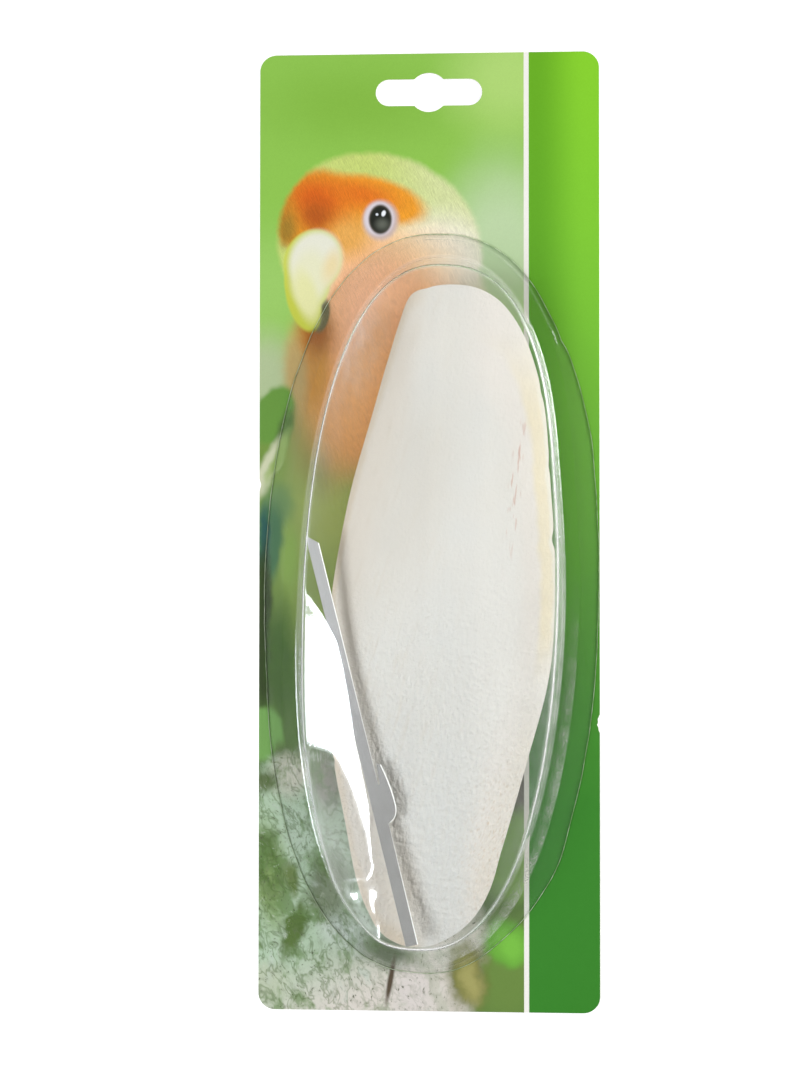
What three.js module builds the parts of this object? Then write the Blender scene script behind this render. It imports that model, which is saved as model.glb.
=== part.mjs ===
// A cuttlebone for cage birds, packed with its steel clip under a clear blister on a hang card.
// Millimetres, +Z up. The pack lies on the back of its card at z = 0 with its long side along Y,
// and the origin is the middle of the card's back.
import * as THREE from "three";

// Hang card: thick paperboard with round corners and a slot for a shop hook.
const CARD = { width: 102, height: 287, thick: 0.5, corner: 5 };
const SLOT = { width: 32, height: 8, bulgeRadius: 5.9, belowTop: 11.8 };

// Clear blister: an oval flange sealed to the card, and a high dome drawn up inside it.
const FILM = 0.4; // thickness of the formed sheet
const SEAL = 0.1; // film of sealing lacquer between the card and what lies on it
const FLANGE = { x: 0.6, y: -21.4, halfWidth: 50, halfHeight: 110.7, power: 2.35, turn: -1.1 };
const DOME = { x: 0.9, y: -21.3, halfWidth: 39.6, halfHeight: 102.9, power: 2.25, turn: -2.2 };
const WALL = { footRadius: 1.5, lean: 1.5, height: 20 };
const SHOULDER_RADIUS = 2.2;
const CROWN_RISE = 1.5;
const AROUND = 72; // steps round the blister

// Cuttlebone: a flattened shield, thin at its rim, with its soft side down.
const BONE = { x: 4.3, y: -25, rimHeight: 11.6, rimThick: 1.6, thick: 17.5, around: 60, rings: 9 };
const BACK = { power: 2.8, root: 0.8 }; // how full the hard upper side is
const BELLY = { power: 2.2, root: 0.9 }; // and the soft lower side
const BONE_RIM = [
  [7.8, 71.6], [18.6, 68.6], [26.8, 59.2], [33.4, 39.6], [35.8, 13.6], [37.4, -20],
  [35.3, -43.4], [28.8, -68.2], [21, -95.4], [17.2, -107.1], [9.8, -116.5], [-2.4, -121.7],
  [-12.7, -118.2], [-19.4, -105.7], [-24.1, -84.3], [-27.5, -65.9], [-29, -43.4], [-28.4, -22.9],
  [-22.9, 9.3], [-16.4, 32.7], [-9.1, 57.5], [-4.8, 68.3],
];

// Clip: one flat stamping that pins the bone to the cage bars, tucked in beside the bone.
const CLIP = { length: 121.5, arm: 3.3, foot: 3.6, thick: 0.6, tipSlant: 3 };
const LOBE = { from: 35.5, to: 53, reach: 6.9, slitFrom: 47, slitWidth: 0.5 };
const CLIP_FOOT = new THREE.Vector3(-5.9, -120, 19.4); // lower left corner of the strip
const CLIP_TIP = new THREE.Vector3(-34.6, -3.2, 20.6); // upper left corner

const LOOKS = {
  card: { color: 0x6fb03c, roughness: 0.45, metalness: 0 },
  blister: { color: 0xe8f0ee, roughness: 0.05, metalness: 0, transparent: true, opacity: 0.2 },
  cuttlebone: { color: 0xe3e0d8, roughness: 0.85, metalness: 0 },
  clip: { color: 0xa3a19e, roughness: 0.45, metalness: 0.9 },
};

function piece(name, geometry) {
  const mesh = new THREE.Mesh(geometry, new THREE.MeshStandardMaterial(LOOKS[name]));
  mesh.name = name;
  return mesh;
}

// A closed skin through rings of equal count, capped by a point at each end.
function skin(firstPoint, rings, lastPoint) {
  const count = rings[0].length;
  const points = [firstPoint, ...rings.flat(), lastPoint];
  const last = points.length - 1;
  const at = (ring, step) => 1 + ring * count + (step % count);
  const faces = [];
  for (let step = 0; step < count; step++) {
    faces.push(0, at(0, step), at(0, step + 1));
    faces.push(last, at(rings.length - 1, step + 1), at(rings.length - 1, step));
    for (let ring = 0; ring < rings.length - 1; ring++) {
      faces.push(at(ring, step), at(ring + 1, step), at(ring + 1, step + 1));
      faces.push(at(ring, step), at(ring + 1, step + 1), at(ring, step + 1));
    }
  }
  const geometry = new THREE.BufferGeometry().setFromPoints(points);
  geometry.setIndex(faces);
  geometry.computeVertexNormals();
  return geometry;
}

// A superellipse at height z, drawn in by inset on every side, scaled about its middle and turned
// there by that many degrees.
function oval({ x, y, halfWidth, halfHeight, power, turn }, inset, z, scale = 1) {
  const upright = new THREE.Vector3(0, 0, 1);
  return Array.from({ length: AROUND }, (_, step) => {
    const angle = (2 * Math.PI * step) / AROUND;
    const bent = (value) => Math.sign(value) * Math.abs(value) ** (2 / power);
    const point = new THREE.Vector3((halfWidth - inset) * bent(Math.cos(angle)), 0, 0);
    point.y = (halfHeight - inset) * bent(Math.sin(angle));
    point.multiplyScalar(scale).applyAxisAngle(upright, THREE.MathUtils.degToRad(turn));
    return point.add(new THREE.Vector3(x, y, z));
  });
}

function card() {
  const { width, height, thick, corner } = CARD;
  const [right, top] = [width / 2, height / 2];
  const outline = new THREE.Shape();
  outline.absarc(right - corner, top - corner, corner, 0, Math.PI / 2);
  outline.absarc(corner - right, top - corner, corner, Math.PI / 2, Math.PI);
  outline.absarc(corner - right, corner - top, corner, Math.PI, 1.5 * Math.PI);
  outline.absarc(right - corner, corner - top, corner, 1.5 * Math.PI, 2 * Math.PI);

  const endRadius = SLOT.height / 2;
  const endX = SLOT.width / 2 - endRadius;
  const slotY = top - SLOT.belowTop;
  const bulge = Math.asin(endRadius / SLOT.bulgeRadius);
  const slot = new THREE.Path();
  slot.absarc(endX, slotY, endRadius, -Math.PI / 2, Math.PI / 2);
  slot.absarc(0, slotY, SLOT.bulgeRadius, bulge, Math.PI - bulge);
  slot.absarc(-endX, slotY, endRadius, Math.PI / 2, 1.5 * Math.PI);
  slot.absarc(0, slotY, SLOT.bulgeRadius, Math.PI + bulge, 2 * Math.PI - bulge);
  outline.holes.push(slot);
  return new THREE.ExtrudeGeometry(outline, { depth: thick, bevelEnabled: false, curveSegments: 8 });
}

// The dome's section as [inset from its foot, height above the card] of the sheet's outer side
// or, shrunk by the sheet's thickness, of its inner side. It runs from the crown down to the foot.
function domeSection(shrink) {
  const section = [];
  const radius = SHOULDER_RADIUS - shrink;
  const centre = [WALL.lean + SHOULDER_RADIUS, WALL.height];
  for (let step = 0; step <= 5; step++) {
    const turn = Math.PI / 2 - (step * Math.PI) / 10;
    section.push([centre[0] - radius * Math.cos(turn), centre[1] + radius * Math.sin(turn)]);
  }
  const foot = WALL.footRadius + shrink;
  section.push([WALL.lean / 6 + shrink, foot]);
  section.push([shrink - foot * 0.3, foot * 0.3]);
  return section;
}

function blister() {
  const under = CARD.thick + SEAL;
  const top = under + FILM;
  const domeTop = WALL.height + SHOULDER_RADIUS;
  const crownInset = WALL.lean + SHOULDER_RADIUS;
  const side = (shrink, floor) => {
    const rings = [0.3, 0.6, 0.85].map((share) =>
      oval(DOME, crownInset, under + domeTop - shrink + CROWN_RISE * (1 - share ** 2), share));
    domeSection(shrink).forEach(([inset, height]) => rings.push(oval(DOME, inset, under + height)));
    rings.push(oval(DOME, shrink - 1.4, floor));
    return rings;
  };
  const outer = side(0, top);
  const inner = side(FILM, under);
  const rim = [oval(FLANGE, 0, top), oval(FLANGE, 0, under)];
  const apex = (shrink) =>
    new THREE.Vector3(DOME.x, DOME.y, under + domeTop + CROWN_RISE - shrink);
  return skin(apex(0), [...outer, ...rim, ...inner.reverse()], apex(FILM));
}

function cuttlebone() {
  const curve = new THREE.CatmullRomCurve3(
    BONE_RIM.map(([x, y]) => new THREE.Vector3(x, y, 0)), true, "centripetal");
  const rim = Array.from({ length: BONE.around }, (_, step) => curve.getPointAt(step / BONE.around));
  rim.reverse(); // the list runs clockwise, and the skin wants it the other way
  const ring = (scale, z) => rim.map(({ x, y }) => new THREE.Vector3(
    BONE.x + (x - BONE.x) * scale, BONE.y + (y - BONE.y) * scale, z));
  const bottom = CARD.thick + SEAL;
  const upper = bottom + BONE.rimHeight + BONE.rimThick / 2;
  const lower = bottom + BONE.rimHeight - BONE.rimThick / 2;
  const full = (scale, { power, root }) => (1 - scale ** power) ** root;
  const rise = bottom + BONE.thick - upper;
  const drop = lower - bottom;
  const scales = Array.from({ length: BONE.rings }, (_, step) =>
    Math.sin(((step + 1) * Math.PI) / 2 / BONE.rings));
  const back = scales.map((scale) => ring(scale, upper + rise * full(scale, BACK)));
  const belly = scales.map((scale) => ring(scale, lower - drop * full(scale, BELLY)));
  return skin(
    new THREE.Vector3(BONE.x, BONE.y, upper + rise), [...back, ...belly.reverse()],
    new THREE.Vector3(BONE.x, BONE.y, lower - drop));
}

// The strip's outline stands on its foot, with its straight left edge along Y.
function clip() {
  const { length, arm, foot, thick, tipSlant } = CLIP;
  const outline = new THREE.Shape();
  outline.moveTo(0, 0);
  outline.lineTo(foot, 0);
  outline.lineTo(foot, LOBE.from);
  outline.quadraticCurveTo(LOBE.reach - 0.3, LOBE.from + 0.6, LOBE.reach, LOBE.from + 4.5);
  outline.quadraticCurveTo(LOBE.reach + 0.1, LOBE.from + 10, arm + 2.2, LOBE.to - 0.6);
  outline.lineTo(arm + LOBE.slitWidth + 0.5, LOBE.to);
  outline.lineTo(arm + LOBE.slitWidth, LOBE.slitFrom);
  outline.lineTo(arm, LOBE.slitFrom);
  outline.lineTo(arm, length - tipSlant);
  outline.lineTo(0, length);
  return new THREE.ExtrudeGeometry(outline, { depth: thick, bevelEnabled: false, curveSegments: 8 });
}

function clipInPlace() {
  const mesh = piece("clip", clip());
  const along = CLIP_TIP.clone().sub(CLIP_FOOT).normalize();
  const across = new THREE.Vector3().crossVectors(along, new THREE.Vector3(0, 0, 1)).normalize();
  const up = new THREE.Vector3().crossVectors(across, along);
  mesh.quaternion.setFromRotationMatrix(new THREE.Matrix4().makeBasis(across, along, up));
  mesh.position.copy(CLIP_FOOT);
  return mesh;
}

const pack = new THREE.Group();
pack.add(
  piece("card", card()), piece("blister", blister()), piece("cuttlebone", cuttlebone()), clipInPlace());
export default pack;
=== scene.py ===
# A cuttlebone for cage birds in its shop pack: a printed hang card, a clear formed blister sealed
# to it, and inside the blister the cuttlebone with its flat steel cage clip.
# The pack lies on its back: +X to the right, +Y up the card, +Z out of its front.
import math

import bmesh
import bpy
import numpy as np
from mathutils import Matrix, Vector, noise


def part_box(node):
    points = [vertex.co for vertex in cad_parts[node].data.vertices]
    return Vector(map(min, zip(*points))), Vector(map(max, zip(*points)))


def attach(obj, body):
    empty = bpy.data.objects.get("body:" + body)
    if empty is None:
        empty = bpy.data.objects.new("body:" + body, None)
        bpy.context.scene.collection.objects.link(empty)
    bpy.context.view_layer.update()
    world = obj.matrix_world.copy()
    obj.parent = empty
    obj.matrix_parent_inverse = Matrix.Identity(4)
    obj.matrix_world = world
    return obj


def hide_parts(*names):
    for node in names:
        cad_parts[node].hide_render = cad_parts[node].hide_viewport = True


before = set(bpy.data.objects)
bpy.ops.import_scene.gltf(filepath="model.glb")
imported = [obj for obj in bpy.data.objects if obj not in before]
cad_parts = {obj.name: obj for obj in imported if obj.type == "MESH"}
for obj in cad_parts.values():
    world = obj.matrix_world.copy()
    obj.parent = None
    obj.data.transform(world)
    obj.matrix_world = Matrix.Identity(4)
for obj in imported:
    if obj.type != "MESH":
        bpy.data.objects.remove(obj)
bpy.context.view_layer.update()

MM = 0.001

card_low, card_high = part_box("card")
blister_low, blister_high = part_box("blister")


# ---------------- shader writing

def srgb(red, green, blue):
    """A colour given as 0 to 255 screen values, as the linear colour a shader takes."""
    values = [c / 255 for c in (red, green, blue)]
    linear = [c / 12.92 if c <= 0.04045 else ((c + 0.055) / 1.055) ** 2.4 for c in values]
    return (*linear, 1.0)


class Shader:
    """Writes a material's nodes, so that a pattern reads as a few lines."""

    def __init__(self, name):
        self.material = bpy.data.materials.new(name)
        self.material.use_nodes = True
        self.tree = self.material.node_tree
        self.tree.nodes.clear()
        self.output = self.tree.nodes.new("ShaderNodeOutputMaterial")

    def add(self, kind, inputs, out=0, **settings):
        node = self.tree.nodes.new("ShaderNode" + kind)
        for name, value in settings.items():
            setattr(node, name, value)
        for key, value in inputs.items():
            if isinstance(value, bpy.types.NodeSocket):
                self.tree.links.new(value, node.inputs[key])
            else:
                node.inputs[key].default_value = value
        return node.outputs[out]

    def math(self, operation, *values):
        return self.add("Math", dict(enumerate(values)), operation=operation)

    def times(self, first, second):
        return self.math("MULTIPLY", first, second)

    def point(self):
        """The place on the object in millimetres."""
        place = self.add("TexCoord", {}, out="Object")
        return self.add("VectorMath", {0: place, "Scale": 1 / MM}, operation="SCALE")

    def split(self, vector):
        return [self.add("SeparateXYZ", {0: vector}, out=axis) for axis in range(3)]

    def fade(self, value, low, high, bottom=0.0, top=1.0):
        """bottom where value is at low, top where it is at high, and a smooth step between."""
        return self.add(
            "MapRange", {0: value, 1: low, 2: high, 3: bottom, 4: top},
            interpolation_type="SMOOTHSTEP")

    def mix(self, share, first, second, blend="MIX"):
        return self.add(
            "Mix", {0: share, 6: first, 7: second}, out=2, data_type="RGBA", blend_type=blend)

    def tint(self, under, colour, *masks):
        """The colour over another one, by as much as the masks multiply to."""
        share = masks[0]
        for mask in masks[1:]:
            share = self.times(share, mask)
        return self.mix(share, under, srgb(*colour))

    def dim(self, colour, grey):
        return self.mix(
            1.0, colour, self.add("CombineColor", {0: grey, 1: grey, 2: grey}), "MULTIPLY")

    def placed(self, point, centre=(0, 0), size=(1, 1), turn=0.0):
        """The point as seen from a centre, turned by degrees and measured in sizes."""
        return self.add(
            "Mapping",
            {0: point, 1: (*centre, 0), 2: (0, 0, math.radians(turn)), 3: (*size, 1000)},
            vector_type="TEXTURE")

    def noise(self, point, size, detail=2.0, rough=0.5, out=0):
        return self.add(
            "TexNoise", {"Vector": point, "Scale": 1 / size, "Detail": detail, "Roughness": rough},
            out=out)

    def blob(self, point, centre, radii, turn=0.0, soft=0.3):
        """1 inside a soft-edged ellipse and 0 outside it."""
        inside = self.placed(point, centre, radii, turn)
        far = self.add("VectorMath", {0: inside}, out="Value", operation="LENGTH")
        return self.fade(far, 1 + soft, max(0.0, 1 - soft))

    def warped(self, point, size, amount, detail=2.0):
        """The point pushed about by noise, so that what is drawn from it gets a living edge."""
        push = self.noise(point, size, detail, out=1)
        push = self.add("VectorMath", {0: push, 1: (0.5, 0.5, 0.5)}, operation="SUBTRACT")
        push = self.add("VectorMath", {0: push, "Scale": amount}, operation="SCALE")
        return self.add("VectorMath", {0: point, 1: push}, operation="ADD")

    def bump(self, height, strength, distance, under=None):
        inputs = {"Height": height, "Strength": strength, "Distance": distance * MM}
        if under is not None:
            inputs["Normal"] = under
        return self.add("Bump", inputs)

    def finish(self, shader):
        self.tree.links.new(shader, self.output.inputs[0])
        return self.material


# ---------------- pieces

def new_piece(name, mesh, replaced):
    """A finished mesh as a piece of the pack that stands for one CAD node."""
    piece = bpy.data.objects.new(name, mesh)
    bpy.context.scene.collection.objects.link(piece)
    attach(piece, "root")
    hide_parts(replaced)
    return piece


def smooth(low, high, value):
    share = np.clip((value - low) / (high - low), 0, 1)
    return share * share * (3 - 2 * share)


def shade_smooth(mesh, angle=35):
    mesh.shade_smooth()
    mesh.set_sharp_from_angle(angle=math.radians(angle))


def give(mesh, name, values):
    """Stores a number at each of the mesh's points, for its material to read."""
    attribute = mesh.attributes.new(name, "FLOAT", "POINT")
    attribute.data.foreach_set("value", np.array(values, np.float32))


def ring_mesh(name, rings, centre_first, centre_last):
    """A closed skin through rings of equal count, ended by one point at each side."""
    count = len(rings[0])
    points = [centre_first, *[p for ring in rings for p in ring], centre_last]
    last = len(points) - 1
    faces = []
    for step in range(count):
        after = (step + 1) % count
        faces.append((0, 1 + step, 1 + after))
        base = 1 + (len(rings) - 1) * count
        faces.append((last, base + after, base + step))
        for ring in range(len(rings) - 1):
            near, far = 1 + ring * count, 1 + (ring + 1) * count
            faces.append((near + step, far + step, far + after, near + after))
    mesh = bpy.data.meshes.new(name)
    mesh.from_pydata([tuple(p) for p in points], [], faces)
    mesh.update()
    return mesh


def oval(middle, half, power, turn, steps):
    """A superellipse about middle, turned by degrees, as an array of x and y in millimetres."""
    angle = np.arange(steps) * 2 * math.pi / steps
    way = np.arctan2(half[1] * np.sin(angle), half[0] * np.cos(angle))
    reach = (np.abs(np.cos(way) / half[0]) ** power + np.abs(np.sin(way) / half[1]) ** power)
    reach = reach ** (-1 / power)
    x, y = reach * np.cos(way), reach * np.sin(way)
    c, s = math.cos(math.radians(turn)), math.sin(math.radians(turn))
    return np.stack([middle[0] + c * x - s * y, middle[1] + s * x + c * y], axis=1)


# ---------------- camera, light and floor

CAMERA_LENS = 56.4      # millimetres
CAMERA_PLACE = (0.0151, -0.0095, 0.501)     # metres
CAMERA_TURN = (0.97, 2.71, 0.04)    # degrees
SKY_COLOUR = (1.0, 0.98, 0.955, 1)
# the sky dims towards straight above: between which heights of a direction, and its strengths there
SKY_DIMMING = (0.80, 0.94, 0.54, 0.16)
KEY_COLOUR = (0.96, 1.0, 1.08)
FLOOR_HALF = 2.0        # metres
FLOOR_GAP = 0.0002      # metres from the floor up to the card's back


def add_camera():
    data = bpy.data.cameras.new("camera")
    data.lens = CAMERA_LENS
    data.clip_start, data.clip_end = 0.01, 20
    camera = bpy.data.objects.new("camera", data)
    bpy.context.scene.collection.objects.link(camera)
    camera.location = CAMERA_PLACE
    camera.rotation_euler = [math.radians(a) for a in CAMERA_TURN]
    bpy.context.scene.camera = camera


def add_softbox(name, azimuth, elevation, distance, size, radiance):
    """A rectangular softbox that looks at the pack's middle. Azimuth 0 is +X and 90 is +Y."""
    a, e = math.radians(azimuth), math.radians(elevation)
    away = Vector((math.cos(a) * math.cos(e), math.sin(a) * math.cos(e), math.sin(e)))
    data = bpy.data.lights.new(name, "AREA")
    data.shape = "RECTANGLE"
    data.size, data.size_y = size
    data.energy = radiance * math.pi * size[0] * size[1]
    light = bpy.data.objects.new(name, data)
    bpy.context.scene.collection.objects.link(light)
    light.location = away * distance
    light.rotation_euler = away.to_track_quat("Z", "Y").to_euler()
    return light


def add_studio():
    """Soft light from all round but straight above, a key softbox and a tall side one."""
    world = bpy.data.worlds.new("studio")
    bpy.context.scene.world = world
    world.use_nodes = True
    nodes, links = world.node_tree.nodes, world.node_tree.links
    background = nodes["Background"]
    background.inputs[0].default_value = SKY_COLOUR
    way = nodes.new("ShaderNodeTexCoord")
    height = nodes.new("ShaderNodeSeparateXYZ")
    dim_above = nodes.new("ShaderNodeMapRange")
    dim_above.interpolation_type = "SMOOTHSTEP"
    for socket, value in zip(list(dim_above.inputs)[1:5], SKY_DIMMING):
        socket.default_value = value
    links.new(way.outputs["Generated"], height.inputs[0])
    links.new(height.outputs[2], dim_above.inputs[0])
    links.new(dim_above.outputs[0], background.inputs[1])
    key = add_softbox(
        "key", azimuth=203, elevation=45, distance=0.75, size=(0.27, 0.27), radiance=15)
    key.data.color = KEY_COLOUR
    add_softbox("side", azimuth=20, elevation=27, distance=0.9, size=(0.36, 0.66), radiance=9.5)
    bpy.context.scene.view_settings.view_transform = "Standard"


def add_floor():
    """The white paper under the pack, which glows a little so that it stays white in shade."""
    mesh = bpy.data.meshes.new("floor")
    below = card_low.z - FLOOR_GAP
    corners = [
        (x * FLOOR_HALF, y * FLOOR_HALF, below) for x, y in ((-1, -1), (1, -1), (1, 1), (-1, 1))]
    mesh.from_pydata(corners, [], [(0, 1, 2, 3)])
    floor = bpy.data.objects.new("floor", mesh)
    bpy.context.scene.collection.objects.link(floor)
    paper = Shader("paper_floor")
    grain = paper.noise(paper.point(), 0.6, 3)
    paper.finish(paper.add("BsdfPrincipled", {
        "Base Color": (0.97, 0.97, 0.97, 1), "Roughness": 0.9,
        "Emission Color": (1, 1, 1, 1), "Emission Strength": 0.2,
        "Normal": paper.bump(grain, 0.1, 0.05)}))
    mesh.materials.append(paper.material)


# ---------------- the hang card

# places on the card are in millimetres from its middle
LINE_X = 29.2           # middle of the white line that parts the picture from the green band
LINE_WIDTH = 1.5
LINE_BLUR = 0.06
PARROT_FROM = 20        # lowest part of the parrot
ROCK_TO = -50           # highest part of the rock
PICTURE_PARTS = (-144, -45, 45, 144)    # the picture is drawn in three parts, each its own material
WARP_ROOM = 5           # how far a warped spot of paint may come past its own outline
PRINT_DENSITY = 0.92    # how much of the light the print gives back, beside its colours
BAND_END = 143          # how far up and down the card the band's colours run
# the band's colours, from its lower end at 0 to its upper end at 1
BAND_COLOURS = [
    (0.0, (52, 128, 36)), (0.22, (56, 130, 40)), (0.33, (72, 142, 46)), (0.43, (90, 160, 52)),
    (0.52, (102, 170, 54)), (0.62, (112, 182, 56)), (0.72, (118, 190, 50)), (1.0, (130, 202, 38)),
]
# places where the card's cut edge is torn: its side's x in metres, middle height, length and depth
TEARS = [(card_high.x, -57.6, 5.6, 0.7), (card_low.x, 13.6, 3.6, 0.5)]
TEAR_CUTS = 7           # corners in each torn place
CARD_BEVEL = 0.05       # taken off the card's cut edges
CORNER = math.radians(60)   # faces that meet at more than this make a cut edge
CLOSE = 1e-5            # metres within which two places count as one

# Each spot of paint is its colour, centre, radii, turn in degrees and softness.
GREENERY = [
    ((128, 180, 64), (-22, 128), (24, 10), 0, 0.9),
    ((170, 208, 112), (24, 136), (15, 15), 0, 0.8),
    ((184, 208, 162), (22, 84), (16, 24), 0, 0.7),
    ((150, 196, 98), (-48, 72), (14, 16), 0, 0.8),
    ((176, 193, 148), (-50, 47), (13, 11), 0, 0.7),
    ((126, 156, 72), (-41, 0), (8, 26), 0, 0.6),
    ((150, 168, 96), (-38, 8), (5, 20), 0, 0.8),
    ((98, 96, 84), (27, -77), (8, 9.5), 10, 0.3),
    ((120, 160, 78), (26, -97), (10, 14), -15, 0.3),
    ((104, 134, 62), (24, -132), (14, 16), 0, 0.6),
]
BACK_SPOTS = [
    ((146, 164, 88), (-16, -4), (24, 56), 0, 0.4),
    ((170, 182, 96), (-29, 6), (7, 12), 0, 0.8),
    ((150, 146, 84), (-34, 30), (8, 16), 4, 0.6),
]
# crown, cheek and forehead
HEAD_SPOTS = [
    ((236, 230, 214), (2, 78), (18, 15), 12, 0.5),
    ((250, 216, 174), (-11, 79), (17, 12), 0, 0.6),
    ((240, 190, 132), (-20, 76), (14, 16), 0, 0.7),
    ((230, 180, 142), (-16, 66), (18, 16), -10, 0.7),
    ((224, 150, 40), (-33, 95.5), (14, 13), -8, 0.16),
    ((232, 154, 42), (-16.5, 99.5), (15.5, 6.6), -15, 0.22),
    ((228, 168, 84), (-24, 88), (6, 6.5), 30, 0.8),
    ((212, 98, 22), (-33.5, 100), (9.5, 6.0), -8, 0.8),
    ((222, 116, 28), (-20, 101), (9, 3.6), -12, 0.9),
    ((180, 88, 24), (-34, 94.5), (4.4, 4.4), 0, 0.9),
    ((196, 128, 36), (-43.4, 96), (3.2, 8.5), 12, 0.7),
    ((160, 122, 40), (-43, 90.5), (2.6, 4.5), 0, 0.7),
]
BREAST_SPOTS = [
    ((226, 160, 98), (-12, 50), (26, 26), 6, 0.35),
    ((244, 186, 148), (-17, 64), (11, 15), -10, 0.8),
    ((226, 162, 98), (-12, 34), (22, 18), 4, 0.4),
    ((250, 180, 104), (-19, 44), (6, 22), -16, 0.8),
    ((200, 142, 66), (-35.5, 50), (5.2, 13), 3, 0.5),
    ((186, 160, 104), (-40, 47), (3.2, 11), 3, 0.6),
    ((158, 92, 30), (-33.6, 60), (4.6, 6.5), 8, 0.8),
]
# beak and eye
FACE_SPOTS = [
    ((100, 96, 62), (-32.2, 64.6), (2.3, 5.2), -12, 0.22),
    ((64, 62, 42), (-32.8, 66.4), (1.1, 3.4), -12, 0.5),
    ((196, 204, 84), (-35.0, 81.0), (8.6, 9.8), -24, 0.07),
    ((194, 201, 78), (-36.6, 75.5), (7.0, 9.6), 0, 0.07),
    ((190, 197, 72), (-37.8, 69.4), (4.9, 9.8), 16, 0.1),
    ((224, 224, 206), (-34.2, 81.4), (7.6, 8.8), -24, 0.2),
    ((224, 224, 190), (-35.6, 76), (5.6, 8.2), 0, 0.4),
    ((222, 222, 164), (-36.8, 70.6), (3.2, 7.6), 16, 0.5),
    ((228, 212, 164), (-29.2, 79.5), (2.4, 4.6), -16, 0.8),
    ((196, 176, 170), (-14.5, 93.2), (5.3, 5.9), 0, 0.2),
    ((214, 206, 212), (-14.9, 93.7), (4.5, 5.1), 0, 0.15),
    ((74, 70, 60), (-14.6, 93.5), (3.5, 4.5), 0, 0.12),
    ((30, 33, 26), (-14.6, 93.5), (3.0, 3.9), 0, 0.12),
    ((92, 96, 86), (-14.0, 92.0), (1.7, 1.5), 0, 0.9),
    ((236, 240, 246), (-13.6, 95.3), (0.6, 0.9), -20, 0.35),
    ((216, 222, 230), (-15.6, 95.0), (0.4, 0.4), 0, 0.4),
]
# leaves and shade, most of them at the left edge
LEAVES = [
    ((104, 150, 62), (-47, 35), (5.6, 9), -28, 0.16),
    ((86, 118, 56), (-43.4, 30), (2.4, 7), -20, 0.5),
    ((204, 208, 174), (-48.4, 19), (2.6, 9.5), -22, 0.35),
    ((150, 176, 100), (-45.2, 23), (1.6, 8), -24, 0.5),
    ((110, 144, 88), (-46, 7), (5, 7), -6, 0.5),
    ((70, 116, 78), (-48, -4), (4.4, 12), -6, 0.35),
    ((44, 90, 84), (-49.6, -3), (1.4, 10), 0, 0.6),
    ((140, 172, 84), (-41.6, -8), (2.6, 9), 0, 0.7),
    ((52, 70, 30), (-49.6, -30), (2.7, 24), 0, 0.3),
    ((66, 100, 34), (-44.6, -40), (3.4, 16), 0, 0.6),
    ((118, 166, 86), (-49.4, -61.5), (6.4, 8), 6, 0.14),
    ((84, 110, 52), (-44, -68), (3.4, 4), 0, 0.5),
    ((100, 160, 56), (23.6, -123), (7.4, 6.0), -40, 0.25),
    ((118, 186, 66), (24.4, -124), (4.6, 3.6), -40, 0.7),
]
STONE_SPOTS = [
    ((208, 207, 190), (-41.5, -72), (6, 8), 0, 0.5),
    ((138, 138, 122), (-30.5, -75), (4.4, 9), 6, 0.6),
    ((186, 206, 182), (-38.5, -90), (5, 8), 0, 0.6),
    ((208, 219, 208), (-24, -119), (8, 6), -20, 0.6),
    ((94, 110, 74), (-31, -105), (4.2, 8.5), -14, 0.5),
    ((96, 114, 72), (-49, -75.5), (3.6, 3.6), 0, 0.6),
    ((132, 158, 100), (-48, -104), (5.6, 15), 8, 0.6),
    ((128, 142, 112), (-29, -108), (5, 8), -20, 0.7),
    ((100, 112, 86), (-12, -126), (8, 4), -20, 0.7),
    ((212, 205, 199), (-5, -138), (6, 7), 0, 0.7),
    ((216, 210, 202), (4, -124), (5, 6), 0, 0.8),
]
MOSS_SPOTS = [
    ((80, 108, 48), (-47.8, -100), (3.8, 9), 6, 0.45),
    ((126, 152, 90), (-47.0, -102), (1.6, 4.4), 10, 0.6),
    ((88, 114, 54), (-40.2, -120), (2.6, 9.6), -20, 0.5),
    ((104, 126, 70), (-41.2, -104), (2.4, 5.6), 12, 0.6),
    ((184, 194, 168), (-48, -136), (6, 6), 0, 0.6),
]
DARK_CRACK = [((84, 72, 56), (-11.4, -134.6), (0.8, 6.5), -10, 0.5)]
MOSS_BESIDE = [
    ((104, 108, 50), (11.6, -133), (5.6, 9.6), 4, 0.5),
    ((160, 156, 94), (12.4, -134.5), (3.0, 6.0), 14, 0.8),
]
# ovals that make up the parrot's head and neck: centre, radii and softness
HEAD_OVALS = [
    ((-17, 87), (25, 26.6), 0.05), ((-13, 84.5), (25.2, 28), 0.05),
    ((-9, 81), (25, 29), 0.05), ((-2, 62), (20, 30), 0.1),
]


def printed(s, point, x, sheet):
    """Finishes a material in glossy ink: the picture given as sheet, and the white line."""
    off_line = s.math("ABSOLUTE", s.math("SUBTRACT", x, LINE_X))
    on_line = s.fade(off_line, LINE_WIDTH / 2 + LINE_BLUR, LINE_WIDTH / 2 - LINE_BLUR)
    sheet = s.mix(on_line, sheet, srgb(236, 234, 226))
    dots = s.noise(point, 0.35, 2)
    ink = s.fade(dots, 0.3, 0.7, PRINT_DENSITY - 0.02, PRINT_DENSITY + 0.02)
    sheet = s.dim(sheet, ink)
    return s.finish(s.add("BsdfPrincipled", {
        "Base Color": sheet, "Roughness": s.fade(dots, 0.2, 0.8, 0.36, 0.46),
        "Specular IOR Level": 0.3, "Normal": s.bump(dots, 0.05, 0.02)}))


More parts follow.
